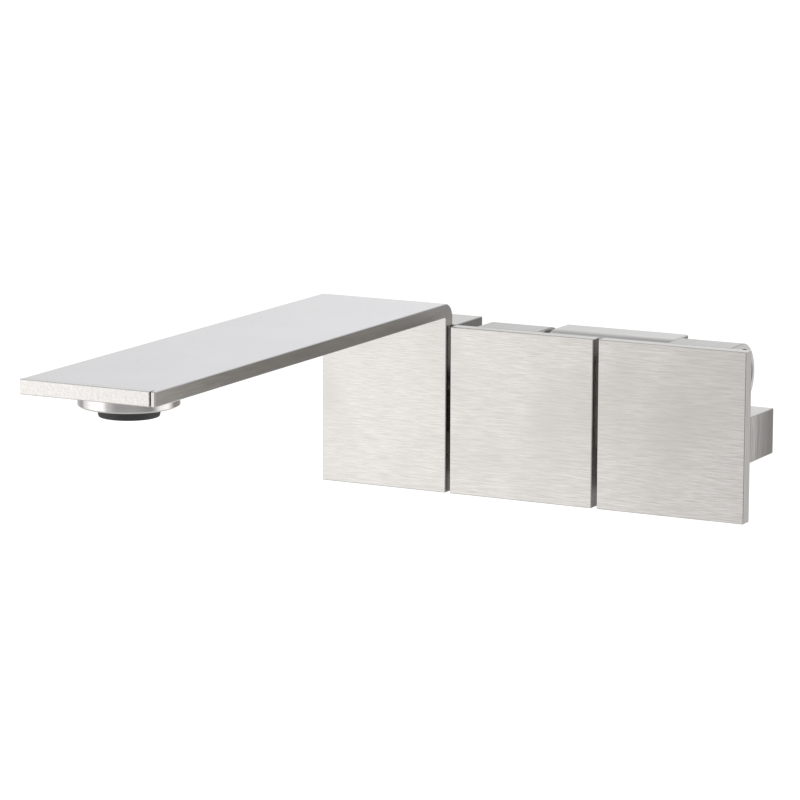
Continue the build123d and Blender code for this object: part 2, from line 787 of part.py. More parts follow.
def make_hub_screw(side, sign):
    with BuildPart() as hub_screw:
        with BuildSketch(outward_plane(sign, tapped_start + hub_screw_bottom_gap)):
            Circle(m4_radius)
        extrude(amount=hub_screw_seat - tapped_start - hub_screw_bottom_gap)
        with BuildSketch(outward_plane(sign, hub_screw_seat)):
            Circle(m4_head_radius)
            RegularPolygon(hub_screw_socket / 2, 6, major_radius=False, mode=Mode.SUBTRACT)
        extrude(amount=hub_screw_head_height)
    hub_screw.part.label = side + "_hub_screw"
    export_step(hub_screw.part, f"parts/{side}_hub_screw.step")


def make_hub_cap(side, sign):
    with BuildPart() as hub_cap:
        with BuildSketch(outward_plane(sign, cap_recess_floor)):
            Circle(cap_recess_radius - cap_clearance)
        extrude(amount=cap_recess_depth - cap_sink)
        with BuildSketch(outward_plane(sign, cap_recess_floor - cap_boss_height)):
            Circle(cap_boss_radius)
        extrude(amount=cap_boss_height)
    hub_cap.part.label = side + "_hub_cap"
    export_step(hub_cap.part, f"parts/{side}_hub_cap.step")


def make_handle_plate(side, sign):
    with BuildPart() as handle_plate:
        with BuildSketch(Plane.XZ.offset(-plate_back)):
            with Locations((plate_centres[side], (plate_low + plate_high) / 2)):
                Rectangle(handle_width, handle_height)
        extrude(amount=plate_thick)
        chamfer(handle_plate.edges(), edge_break)
        with BuildSketch(Plane.XZ.offset(-plate_back)):
            with Locations(*plate_screw_places(sign)):
                Circle(m3_radius)
        extrude(amount=plate_thread_depth, mode=Mode.SUBTRACT)
    handle_plate.part.label = side + "_handle_plate"
    export_step(handle_plate.part, f"parts/{side}_handle_plate.step")


def make_plate_screws(side, sign):
    with BuildPart() as plate_screws:
        with BuildSketch(Plane.XZ.offset(-axis_y)):
            with Locations(*plate_screw_places(sign)):
                Circle(m3_radius)
        extrude(amount=hub_radius + plate_screw_engaged)
        with BuildSketch(Plane.XZ.offset(-axis_y)):
            with Locations(*plate_screw_places(sign)):
                Circle(m3_head_radius)
        extrude(amount=-m3_head_height)
        with BuildSketch(Plane.XZ.offset(-axis_y - m3_head_height)):
            with Locations(*plate_screw_places(sign)):
                RegularPolygon(m3_socket / 2, 6, major_radius=False)
        extrude(amount=m3_head_height / 2, mode=Mode.SUBTRACT)
    plate_screws.part.label = side + "_plate_screws"
    export_step(plate_screws.part, f"parts/{side}_plate_screws.step")


makers = [
    make_base_seal,
    make_fixed_disc,
    make_moving_disc,
    make_sleeve,
    make_nut,
    make_stem,
    make_stem_seals,
    make_thrust_washer,
    make_hub,
    make_hub_screw,
    make_hub_cap,
    make_handle_plate,
    make_plate_screws,
]
for side, sign in sides.items():
    for make in makers:
        make(side, sign)
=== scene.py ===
"""Looks of the wall mounted bath faucet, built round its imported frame. Metres, +Z up, wall at y = 0."""
import math
from collections import namedtuple

import bmesh
import bpy
from mathutils import Matrix, Vector


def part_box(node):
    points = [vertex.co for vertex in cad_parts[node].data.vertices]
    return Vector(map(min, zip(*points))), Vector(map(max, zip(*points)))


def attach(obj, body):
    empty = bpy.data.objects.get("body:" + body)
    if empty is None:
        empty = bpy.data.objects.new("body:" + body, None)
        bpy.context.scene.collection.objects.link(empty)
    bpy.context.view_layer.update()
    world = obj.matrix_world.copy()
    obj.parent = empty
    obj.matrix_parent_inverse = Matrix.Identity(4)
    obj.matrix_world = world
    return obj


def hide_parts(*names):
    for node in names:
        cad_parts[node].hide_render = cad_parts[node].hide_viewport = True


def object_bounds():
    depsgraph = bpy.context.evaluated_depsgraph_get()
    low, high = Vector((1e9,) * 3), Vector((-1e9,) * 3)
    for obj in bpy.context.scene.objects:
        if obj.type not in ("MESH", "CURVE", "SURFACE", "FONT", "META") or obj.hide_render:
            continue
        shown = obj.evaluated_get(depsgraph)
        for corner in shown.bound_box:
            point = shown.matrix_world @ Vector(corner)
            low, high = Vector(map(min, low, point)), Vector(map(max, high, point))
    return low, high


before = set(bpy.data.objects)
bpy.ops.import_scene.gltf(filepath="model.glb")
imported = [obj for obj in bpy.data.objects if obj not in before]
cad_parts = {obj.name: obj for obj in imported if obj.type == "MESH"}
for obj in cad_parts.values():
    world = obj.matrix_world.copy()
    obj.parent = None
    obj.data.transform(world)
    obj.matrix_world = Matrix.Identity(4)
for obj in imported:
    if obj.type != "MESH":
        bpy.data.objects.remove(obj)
cad_low, cad_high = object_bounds()
MM = 0.001
SIDES = {"hot": -1, "cold": 1}


# ================================================================ shader tools
def math_node(tree, operation, a, b=None, clamp=False):
    """A Math node whose inputs are sockets or plain numbers; returns its output."""
    node = tree.nodes.new("ShaderNodeMath")
    node.operation = operation
    node.use_clamp = clamp
    for slot, value in zip(node.inputs, (a, b)):
        if isinstance(value, bpy.types.NodeSocket):
            tree.links.new(value, slot)
        elif value is not None:
            slot.default_value = value
    return node.outputs[0]


def vector_node(tree, operation, a, b=None):
    """A Vector Math node whose inputs are sockets or plain triples; returns the node."""
    node = tree.nodes.new("ShaderNodeVectorMath")
    node.operation = operation
    for slot, value in zip(node.inputs, (a, b)):
        if isinstance(value, bpy.types.NodeSocket):
            tree.links.new(value, slot)
        elif value is not None:
            slot.default_value = value
    return node


def blend_colour(tree, factor, low, high):
    """Blend two colours or sockets by a factor socket or number."""
    node = tree.nodes.new("ShaderNodeMix")
    node.data_type = "RGBA"
    for label, value in (("Factor", factor), ("A", low), ("B", high)):
        if isinstance(value, bpy.types.NodeSocket):
            tree.links.new(value, node.inputs[label])
        elif label == "Factor":
            node.inputs[label].default_value = value
        else:
            node.inputs[label].default_value = (*value, 1)
    return node.outputs["Result"]


def scale_value(tree, value, low, high):
    """Map a 0 to 1 value onto low to high."""
    node = tree.nodes.new("ShaderNodeMapRange")
    node.inputs["To Min"].default_value = low
    node.inputs["To Max"].default_value = high
    tree.links.new(value, node.inputs["Value"])
    return node.outputs["Result"]


def smooth_step(tree, value, start, end):
    """0 before start and 1 past end, with a soft change between."""
    node = tree.nodes.new("ShaderNodeMapRange")
    node.interpolation_type = "SMOOTHSTEP"
    node.inputs["From Min"].default_value = start
    node.inputs["From Max"].default_value = end
    tree.links.new(value, node.inputs["Value"])
    return node.outputs["Result"]


# ================================================================ studio
CAMERA_TURN = (27.379, 10.313, 0.218)
CAMERA_AIM = Vector((-49.2, -32.4, 12.1)) * MM
CAMERA_DISTANCE = 1.4558
CAMERA_LENS = 184.27


def make_camera():
    """A long lens, well to the right of the faucet and a little above it."""
    azimuth, elevation, roll = (math.radians(angle) for angle in CAMERA_TURN)
    away = Vector((
        math.sin(azimuth) * math.cos(elevation),
        -math.cos(azimuth) * math.cos(elevation),
        math.sin(elevation),
    ))
    data = bpy.data.cameras.new("studio_camera")
    data.lens = CAMERA_LENS
    data.sensor_width = 36.0
    data.clip_start = 0.05
    data.clip_end = 60.0
    camera = bpy.data.objects.new("studio_camera", data)
    bpy.context.scene.collection.objects.link(camera)
    across = Vector((math.cos(azimuth), math.sin(azimuth), 0.0))
    upright = away.cross(across)
    right = across * math.cos(roll) + upright * math.sin(roll)
    up = upright * math.cos(roll) - across * math.sin(roll)
    turn = Matrix((right, up, away)).transposed()
    camera.matrix_world = Matrix.Translation(CAMERA_AIM + away * CAMERA_DISTANCE) @ turn.to_4x4()
    bpy.context.scene.camera = camera


# Tent brightness round the faucet: (share of a turn from the wall by way of the left, level)
TENT = [
    (0.00, 0.78), (0.055, 1.06), (0.095, 0.84), (0.17, 0.50), (0.225, 0.38), (0.27, 0.85), (0.30, 0.98),
    (0.402, 1.13), (0.455, 0.545), (0.51, 0.35), (0.60, 0.36), (0.73, 0.27), (0.80, 1.02), (0.85, 1.12),
    (0.90, 0.56), (0.94, 0.53), (1.00, 0.78),
]
ROOF_GREY = GROUND_GREY = (0.50, 0.50, 0.50)
ROOF_FROM, ROOF_TO = 0.35, 0.85
GROUND_FROM, GROUND_TO = -0.35, -0.9
WHITE = (1.0, 1.0, 1.0)


def make_world():
    """White behind everything; the steel sees a pale tent that is darker at the front right."""
    world = bpy.data.worlds.new("studio_tent")
    bpy.context.scene.world = world
    world.use_nodes = True
    tree = world.node_tree
    tree.nodes.clear()
    link = tree.links.new
    place = tree.nodes.new("ShaderNodeTexCoord")
    split = tree.nodes.new("ShaderNodeSeparateXYZ")
    link(place.outputs["Generated"], split.inputs[0])
    front = math_node(tree, "MULTIPLY", split.outputs["Y"], -1.0)
    turn = math_node(tree, "ARCTAN2", split.outputs["X"], front)
    share = math_node(tree, "ADD", math_node(tree, "DIVIDE", turn, math.tau), 0.5)
    ramp = tree.nodes.new("ShaderNodeValToRGB")
    ramp.color_ramp.interpolation = "EASE"
    stops = ramp.color_ramp.elements
    while len(stops) < len(TENT):
        stops.new(0.5)
    for stop, (where, level) in zip(stops, TENT):
        stop.position = where
        stop.color = (level, level, level, 1)
    link(share, ramp.inputs["Fac"])
    height = split.outputs["Z"]
    tent = blend_colour(tree, smooth_step(tree, height, ROOF_FROM, ROOF_TO), ramp.outputs["Color"], ROOF_GREY)
    tent = blend_colour(tree, smooth_step(tree, height, GROUND_FROM, GROUND_TO), tent, GROUND_GREY)
    sight = tree.nodes.new("ShaderNodeLightPath")
    seen = blend_colour(tree, sight.outputs["Is Camera Ray"], tent, WHITE)
    glow = tree.nodes.new("ShaderNodeBackground")
    link(seen, glow.inputs["Color"])
    out = tree.nodes.new("ShaderNodeOutputWorld")
    link(glow.outputs[0], out.inputs["Surface"])


def make_front_light():
    """A faint warm soft box low at the front left, which the camera does not see."""
    place, target = Vector((-0.30, -0.42, -0.05)), Vector((-0.08, -0.03, 0.01))
    data = bpy.data.lights.new("front_left_box", "AREA")
    data.shape = "RECTANGLE"
    data.size = 0.30
    data.size_y = 0.34
    data.energy = 0.05
    data.color = (1.0, 0.975, 0.95)
    light = bpy.data.objects.new("front_left_box", data)
    bpy.context.scene.collection.objects.link(light)
    light.location = place
    light.rotation_euler = (place - target).to_track_quat("Z", "Y").to_euler()
    light.visible_camera = False


FLOOR_WIDTH, FLOOR_DROP = 60.0, 1.6
FLOOR_GLOW = 0.62


def make_floor():
    """A plain pale floor, some way below the faucet."""
    mesh = bpy.data.meshes.new("floor")
    half = FLOOR_WIDTH / 2
    level = cad_low.z - FLOOR_DROP
    corners = [(-half, -half, level), (half, -half, level), (half, half, level), (-half, half, level)]
    mesh.from_pydata(corners, [], [(0, 1, 2, 3)])
    floor = bpy.data.objects.new("floor", mesh)
    bpy.context.scene.collection.objects.link(floor)
    paint = bpy.data.materials.new("pale_floor")
    paint.use_nodes = True
    surface = paint.node_tree.nodes["Principled BSDF"]
    surface.inputs["Base Color"].default_value = (0.9, 0.9, 0.9, 1)
    surface.inputs["Roughness"].default_value = 0.9
    surface.inputs["Specular IOR Level"].default_value = 0.0
    surface.inputs["Emission Color"].default_value = (*WHITE, 1)
    surface.inputs["Emission Strength"].default_value = FLOOR_GLOW
    mesh.materials.append(paint)
    floor.visible_glossy = False


# ================================================================ shader groups
def group_tree(name, inputs, outputs):
    """An empty shader node group with the named sockets: (label, kind, start value)."""
    tree = bpy.data.node_groups.new(name, "ShaderNodeTree")
    for direction, sockets in (("INPUT", inputs), ("OUTPUT", outputs)):
        for label, kind, start in sockets:
            made = tree.interface.new_socket(label, in_out=direction, socket_type="NodeSocket" + kind)
            if start is not None:
                made.default_value = start
    entry = tree.nodes.new("NodeGroupInput")
    leave = tree.nodes.new("NodeGroupOutput")
    return tree, entry.outputs, leave.inputs


def noise_node(tree, vector, scale, detail, roughness=0.5):
    """A Noise Texture with plain settings; returns its value."""
    node = tree.nodes.new("ShaderNodeTexNoise")
    node.inputs["Scale"].default_value = scale
    node.inputs["Detail"].default_value = detail
    node.inputs["Roughness"].default_value = roughness
    tree.links.new(vector, node.inputs["Vector"])
    return node.outputs["Fac"]


BELT_WANDER = 14.0
SPECKS_PER_METRE = 2600.0
FINE_SHARE, BROAD_SHARE = 0.98, 0.02
BROAD_SCALE = 0.15
TURNED_ANGLE_SHARE = 0.01


def build_brushed_grain():
    """Streaks of a belt-brushed finish: Density is how many fit in a metre along X, Y and Z."""
    tree, given, result = group_tree(
        "brushed_grain",
        [
            ("Vector", "Vector", None),
            ("Density", "Vector", (60.0, 2000.0, 2000.0)),
            ("Sway", "Float", 0.0008),
            ("Contrast", "Float", 1.0),
        ],
        [("Streaks", "Float", None), ("Height", "Float", None)],
    )
    # The belt wanders a little, so the streaks are not dead straight
    slow = noise_node(tree, given["Vector"], BELT_WANDER, 1.0)
    shift = math_node(tree, "MULTIPLY", math_node(tree, "SUBTRACT", slow, 0.5), given["Sway"])
    swayed = vector_node(tree, "ADD", given["Vector"], shift).outputs[0]
    laid = vector_node(tree, "MULTIPLY", swayed, given["Density"]).outputs[0]
    fine = noise_node(tree, laid, 1.0, 2.0, 0.6)
    broad = noise_node(tree, laid, BROAD_SCALE, 2.0)
    both = math_node(
        tree, "ADD",
        math_node(tree, "MULTIPLY", fine, FINE_SHARE), math_node(tree, "MULTIPLY", broad, BROAD_SHARE),
    )
    centred = math_node(tree, "MULTIPLY", math_node(tree, "SUBTRACT", both, 0.5), given["Contrast"])
    tree.links.new(math_node(tree, "ADD", centred, 0.5, clamp=True), result["Streaks"])
    tree.links.new(fine, result["Height"])
    return tree


def build_turned_place():
    """Turns a place round a Z axis into (radius, height, a little of the angle)."""
    tree, given, result = group_tree(
        "turned_place", [("Vector", "Vector", None)], [("Vector", "Vector", None)]
    )
    split = tree.nodes.new("ShaderNodeSeparateXYZ")
    tree.links.new(given["Vector"], split.inputs[0])
    flat = vector_node(tree, "MULTIPLY", given["Vector"], (1, 1, 0)).outputs[0]
    radius = vector_node(tree, "LENGTH", flat).outputs["Value"]
    angle = math_node(tree, "ARCTAN2", split.outputs["Y"], split.outputs["X"])
    joined = tree.nodes.new("ShaderNodeCombineXYZ")
    tree.links.new(radius, joined.inputs[0])
    tree.links.new(split.outputs["Z"], joined.inputs[1])
    tree.links.new(math_node(tree, "MULTIPLY", angle, TURNED_ANGLE_SHARE), joined.inputs[2])
    tree.links.new(joined.outputs[0], result["Vector"])
    return tree


def build_handling():
    """Slow cloudy change over a surface, as polish and handling leave it, and fine specks."""
    tree, given, result = group_tree(
        "handling",
        [("Vector", "Vector", None), ("Size", "Float", 60.0), ("Specks", "Float", 0.0)],
        [("Cloud", "Float", None), ("Speck", "Float", None)],
    )
    node = tree.nodes.new("ShaderNodeTexNoise")
    node.inputs["Detail"].default_value = 3.0
    tree.links.new(given["Vector"], node.inputs["Vector"])
    tree.links.new(given["Size"], node.inputs["Scale"])
    tree.links.new(node.outputs["Fac"], result["Cloud"])
    dots = noise_node(tree, given["Vector"], SPECKS_PER_METRE, 2.0, 0.7)
    tree.links.new(math_node(tree, "MULTIPLY", dots, given["Specks"]), result["Speck"])
    return tree


def build_edge_wear_and_highlight():
    """Near 1 on outer edges and 0 on flats: edges brightened partly by handling wear and partly as a painted
    highlight.
    """
    tree, given, result = group_tree(
        "edge_wear_and_highlight",
        [("Width", "Float", 0.0004), ("Strength", "Float", 1.0)],
        [("Wear And Highlight", "Float", None)],
    )
    rounded = tree.nodes.new("ShaderNodeBevel")
    rounded.samples = 4
    tree.links.new(given["Width"], rounded.inputs["Radius"])
    plain = tree.nodes.new("ShaderNodeNewGeometry")
    agree = vector_node(tree, "DOT_PRODUCT", rounded.outputs["Normal"], plain.outputs["Normal"])
    turned = math_node(tree, "SUBTRACT", 1.0, agree.outputs["Value"])
    tree.links.new(math_node(tree, "MULTIPLY", turned, given["Strength"], clamp=True), result["Wear And Highlight"])
    return tree


bpy.context.scene.view_settings.view_transform = "Standard"
make_camera()
make_world()
make_floor()
make_front_light()

GRAIN = build_brushed_grain()
TURNED = build_turned_place()
HANDLING = build_handling()
EDGE_WEAR_AND_HIGHLIGHT = build_edge_wear_and_highlight()


# ================================================================ materials
def new_material(name):
    """A material with one Principled BSDF; returns it, its tree and the shader's inputs."""
    material = bpy.data.materials.new(name)
    material.use_nodes = True
    tree = material.node_tree
    return material, tree, tree.nodes["Principled BSDF"].inputs


def object_place(tree, centre=(0, 0, 0), turn=(0, 0, 0)):
    """Object coordinates, moved so that centre is at zero and then turned."""
    place = tree.nodes.new("ShaderNodeTexCoord").outputs["Object"]
    moved = vector_node(tree, "SUBTRACT", place, centre).outputs[0]
    mapping = tree.nodes.new("ShaderNodeMapping")
    mapping.inputs["Rotation"].default_value = turn
    tree.links.new(moved, mapping.inputs["Vector"])
    return mapping.outputs["Vector"]


def place_group(tree, group, **values):
    """A shader group with its inputs set to sockets or plain values; returns its outputs."""
    node = tree.nodes.new("ShaderNodeGroup")
    node.node_tree = group
    for label, value in values.items():
        slot = node.inputs[label]
        if isinstance(value, bpy.types.NodeSocket):
            tree.links.new(value, slot)
        else:
            slot.default_value = value
    return node.outputs


METAL_RELIEF, MOULD_RELIEF = 0.05 * MM, 0.03 * MM
STREAK_POLISH, CLOUD_POLISH = 0.6, 0.4
MOULD_GRAIN, MOULD_CLOUD, MOULD_SPECK, MOULD_EDGE = 1800.0, 160.0, 0.35, 0.0003


def add_relief(tree, inputs, height, strength, depth):
    """Bump of the given depth in metres on the shader's normal."""
    relief = tree.nodes.new("ShaderNodeBump")
    relief.inputs["Strength"].default_value = strength
    relief.inputs["Distance"].default_value = depth
    tree.links.new(height, relief.inputs["Height"])
    tree.links.new(relief.outputs["Normal"], inputs["Normal"])


def metal(
    name, tones, rough, density, contrast=1.0, sway=0.0008, relief=0.3, speck=0.0, wear_and_highlight=(0.0005, 1.6),
    worn_and_highlight_colour=(0.93, 0.92, 0.90), turned=None, cloud_size=34.0, cloudy=(-0.12, 0.42), wall_shade=None,
):
    """A bare metal finish.

    tones are the dark and the light of its streaks, density how many fit in a metre and sway how far
    they wander; the edge settings give the (width, strength) and the colour of its bright edges, partly real
    wear and partly a painted highlight; turned is (centre, turn) where the streaks run round an axis; the
    last setting is (colour, unshaded y, shaded y, strength) of painted shade that darkens the steel towards
    the wall.
    """
    dark, light = tones
    material, tree, inputs = new_material(name)
    place = object_place(tree)
    path = place
    if turned:
        path = place_group(tree, TURNED, Vector=object_place(tree, *turned))["Vector"]
    grain = place_group(tree, GRAIN, Vector=path, Density=density, Sway=sway, Contrast=contrast)
    hands = place_group(tree, HANDLING, Vector=place, Size=cloud_size, Specks=speck)
    wear_and_highlight_mask = place_group(tree, EDGE_WEAR_AND_HIGHLIGHT, Width=wear_and_highlight[0], Strength=wear_and_highlight[1])["Wear And Highlight"]
    tone = blend_colour(tree, grain["Streaks"], dark, light)
    tone = blend_colour(tree, scale_value(tree, hands["Cloud"], *cloudy), tone, dark)
    if speck:
        tone = blend_colour(tree, hands["Speck"], tone, light)
    # Painted shade: the steel darkens towards the wall, where shade falls
    if wall_shade:
        shade_colour, unshaded_y, shaded_y, strength = wall_shade
        split = tree.nodes.new("ShaderNodeSeparateXYZ")
        tree.links.new(place, split.inputs[0])
        wall_shade_ramp = tree.nodes.new("ShaderNodeMapRange")
        wall_shade_ramp.inputs["From Min"].default_value = unshaded_y
        wall_shade_ramp.inputs["From Max"].default_value = shaded_y
        wall_shade_ramp.inputs["To Max"].default_value = strength
        tree.links.new(split.outputs["Y"], wall_shade_ramp.inputs["Value"])
        tone = blend_colour(tree, wall_shade_ramp.outputs["Result"], tone, shade_colour)
    # Edges brightened partly by real wear and partly by a painted highlight
    tone = blend_colour(tree, wear_and_highlight_mask, tone, worn_and_highlight_colour)
    tree.links.new(tone, inputs["Base Color"])
    inputs["Metallic"].default_value = 1.0
    polish = math_node(
        tree, "ADD",
        math_node(tree, "MULTIPLY", grain["Streaks"], STREAK_POLISH),
        math_node(tree, "MULTIPLY", hands["Cloud"], CLOUD_POLISH),
    )
    tree.links.new(scale_value(tree, polish, *rough), inputs["Roughness"])
    add_relief(tree, inputs, grain["Height"], relief, METAL_RELIEF)
    return material


def moulded(name, tones, rough, relief=0.2, wear_and_highlight=0.0):
    """A moulded or pressed material: plastic, rubber or ceramic."""
    dark, light = tones
    material, tree, inputs = new_material(name)
    place = object_place(tree)
    hands = place_group(tree, HANDLING, Vector=place, Size=MOULD_CLOUD, Specks=1.0)
    tone = blend_colour(tree, hands["Cloud"], dark, light)
    tone = blend_colour(tree, scale_value(tree, hands["Speck"], 0.0, MOULD_SPECK), tone, light)
    # Paler edges: partly real wear, partly a painted highlight
    if wear_and_highlight:
        wear_and_highlight_mask = place_group(tree, EDGE_WEAR_AND_HIGHLIGHT, Width=MOULD_EDGE, Strength=wear_and_highlight)["Wear And Highlight"]
        paler = tuple(min(1.0, 1.8 * part + 0.05) for part in light)
        tone = blend_colour(tree, wear_and_highlight_mask, tone, paler)
    tree.links.new(tone, inputs["Base Color"])
    inputs["Specular IOR Level"].default_value = 0.45
    tree.links.new(scale_value(tree, hands["Cloud"], *rough), inputs["Roughness"])
    add_relief(tree, inputs, noise_node(tree, place, MOULD_GRAIN, 2.0, 0.6), relief, MOULD_RELIEF)
    return material


# The dark and the light tone of each finish
WARM = ((0.69, 0.665, 0.635), (0.90, 0.872, 0.842))
PLAIN = ((0.69, 0.69, 0.707), (0.87, 0.87, 0.89))
# Tones for the top faces, darker than the fronts as painted shade
SHADED_TOP_TONES = ((0.44, 0.435, 0.43), (0.72, 0.715, 0.71))
TIP = ((0.80, 0.775, 0.75), (1.0, 0.975, 0.95))
FACED = ((0.90, 0.88, 0.86), (1.0, 0.985, 0.97))
HUB = ((0.36, 0.355, 0.35), (0.60, 0.595, 0.59))
# Dark tones of painted shade, for faces in the gaps and towards the wall
PAINTED_SHADE_TONES = ((0.16, 0.152, 0.144), (0.34, 0.325, 0.31))
EDGE = ((0.51, 0.488, 0.461), (0.70, 0.673, 0.641))
SAWN = ((0.43, 0.415, 0.40), (0.78, 0.76, 0.73))
ROLLED = ((0.55, 0.55, 0.55), (0.76, 0.76, 0.755))
SCREW = ((0.42, 0.42, 0.43), (0.72, 0.72, 0.73))
SCREEN = ((0.62, 0.62, 0.62), (0.85, 0.85, 0.84))
BRASS = ((0.62, 0.43, 0.19), (0.85, 0.66, 0.34))
PLUG_BRASS = ((0.60, 0.42, 0.19), (0.82, 0.63, 0.33))
BRASS_WEAR_AND_HIGHLIGHT = (0.95, 0.80, 0.50)
CERAMIC = ((0.82, 0.80, 0.76), (0.90, 0.89, 0.86))
RUBBER = ((0.012, 0.012, 0.013), (0.035, 0.035, 0.036))
BLACK_PLASTIC = ((0.018, 0.018, 0.0175), (0.04, 0.04, 0.038))
PALE_PLASTIC = ((0.66, 0.66, 0.63), (0.78, 0.78, 0.75))
SLIDE_PLASTIC = ((0.80, 0.80, 0.77), (0.88, 0.88, 0.86))

# How many streaks fit in a metre along X, Y and Z
ALONG_X, ALONG_Y, ALONG_Z = (75, 3300, 3300), (2200, 90, 2200), (2200, 2200, 90)
FINE_ALONG_X = (150, 4500, 4500)
BLASTED = (900, 900, 1100)
ROUND_THE_HUB = (2600, 60, 60)
SAWN_DOWN, ROUGHLY_SAWN_DOWN = (300, 1900, 90), (300, 1150, 60)

# Middles of what was turned on a lathe: (centre, turn that lays the axis on Z)
LIE_ACROSS = (0, math.pi / 2, 0)
hub_low, hub_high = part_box("hot_handle_hub")
collar_low, collar_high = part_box("aerator_collar")
outlet = Vector(((collar_low.x + collar_high.x) / 2, (collar_low.y + collar_high.y) / 2, 0))
ON_HUB = ((0, (hub_low.y + hub_high.y) / 2, (hub_low.z + hub_high.z) / 2), LIE_ACROSS)
ON_OUTLET = (tuple(outlet), (0, 0, 0))

front_steel = metal(
    "front_steel", WARM, (0.17, 0.27), FINE_ALONG_X, 3.1, sway=0.0003, relief=0.4,
    cloud_size=24.0, cloudy=(-1.2, 1.5),
)
bar_steel = metal("bar_steel", PLAIN, (0.24, 0.30), ALONG_Y, 0.45, relief=0.04)
# The spout's side faces carry painted shade that darkens them towards the wall
edge_steel = metal(
    "edge_steel", EDGE, (0.17, 0.27), ALONG_Y, 1.6, speck=0.35, relief=0.5,
    wall_shade=(PAINTED_SHADE_TONES[1], -0.09, -0.035, 0.75),
)
side_steel = metal("side_steel", WARM, (0.17, 0.27), ALONG_Z, 1.2, relief=0.4)
tip_steel = metal("tip_steel", TIP, (0.30, 0.42), BLASTED, 6.5, speck=0.4, relief=1.3)
hub_steel = metal("hub_steel", HUB, (0.24, 0.34), ROUND_THE_HUB, 2.4, relief=0.4)
faced_steel = metal("faced_steel", FACED, (0.24, 0.34), (2600, 200, 60), 1.0, turned=ON_HUB)
turned_steel = metal("turned_steel", TIP, (0.10, 0.20), (2600, 2600, 60), 1.6, turned=ON_OUTLET)
# Painted shade: dark steel for faces in the narrow gaps between parts, where shadow falls
painted_gap_shade_steel = metal("painted_gap_shade_steel", PAINTED_SHADE_TONES, (0.22, 0.34), ALONG_Z, 1.6, relief=0.4, worn_and_highlight_colour=(0.75, 0.74, 0.72))
sawn_steel = metal("sawn_steel", SAWN, (0.40, 0.55), SAWN_DOWN, 2.6, relief=0.8)
# The rail's end faces carry painted shade that darkens them towards the wall
rail_end_steel = metal(
    "rail_end_steel", SAWN, (0.40, 0.55), ROUGHLY_SAWN_DOWN, 5.0, relief=1.2,
    wall_shade=(PAINTED_SHADE_TONES[1], -0.020, -0.007, 1.0),
)
# Painted shade: a darker copy of the brushed steel for the top faces of the blocks, rail and flaps
painted_shade_top_steel = metal("painted_shade_top_steel", SHADED_TOP_TONES, (0.22, 0.30), ALONG_X, 1.2, relief=0.6)
rolled_steel = metal("rolled_steel", ROLLED, (0.36, 0.52), (300, 900, 300), 0.9, speck=0.3)
screw_steel = metal("screw_steel", SCREW, (0.22, 0.42), (1500, 1500, 1500), 1.0, wear_and_highlight=(0.0002, 1.4))
screen_steel = metal("screen_steel", SCREEN, (0.2, 0.35), (3000, 3000, 3000), 0.8, wear_and_highlight=(0.0001, 0.5))
brass = metal(
    "machined_brass", BRASS, (0.22, 0.36), (2400, 260, 60), 1.2,
    wear_and_highlight=(0.0003, 1.2), worn_and_highlight_colour=BRASS_WEAR_AND_HIGHLIGHT, turned=ON_HUB,
)
plug_brass = metal(
    "plug_brass", PLUG_BRASS, (0.26, 0.42), (1800, 1800, 1800), 0.9, wear_and_highlight=(0.0003, 1.2), worn_and_highlight_colour=BRASS_WEAR_AND_HIGHLIGHT
)
ceramic = moulded("fired_ceramic", CERAMIC, (0.10, 0.22), relief=0.05)
rubber = moulded("seal_rubber", RUBBER, (0.55, 0.75), relief=0.35, wear_and_highlight=0.5)
dark_plastic = moulded("dark_plastic", BLACK_PLASTIC, (0.32, 0.46), relief=0.25, wear_and_highlight=1.2)
pale_plastic = moulded("pale_plastic", PALE_PLASTIC, (0.35, 0.5))
slide_plastic = moulded("slide_plastic", SLIDE_PLASTIC, (0.3, 0.42), relief=0.15)


# ================================================================ shaping tools
def new_piece(name, mesh):
    """An object of that name with the mesh, in the scene."""
    piece = bpy.data.objects.new(name, mesh)
    bpy.context.scene.collection.objects.link(piece)
    return piece


def settle(piece):
    """Turn a piece's modifiers into plain mesh, and drop them."""
    graph = bpy.context.evaluated_depsgraph_get()
    mesh = bpy.data.meshes.new_from_object(piece.evaluated_get(graph), depsgraph=graph)
    piece.modifiers.clear()
    piece.data = mesh
    mesh.name = piece.name


def hand_over(piece, body, slot, *nodes):
    """Say which body the piece rides on and which nodes it stands for; slot, where its finish comes from, is
    not used.
    """
    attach(piece, body)
    if nodes:
        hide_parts(*nodes)


NEARLY_SQUARE = 0.93
SHARP, TURNED_SHARP, FLAT_ENOUGH = math.radians(28), math.radians(30), math.radians(0.5)
SAME_POINT = 2e-6


def facing(normal):
    """Which way a flat face looks: 'x', 'y' or 'z', or 'round' on a curved part."""
    for axis, part in zip("xyz", normal):
        if abs(part) > NEARLY_SQUARE:
            return axis
    return "round"


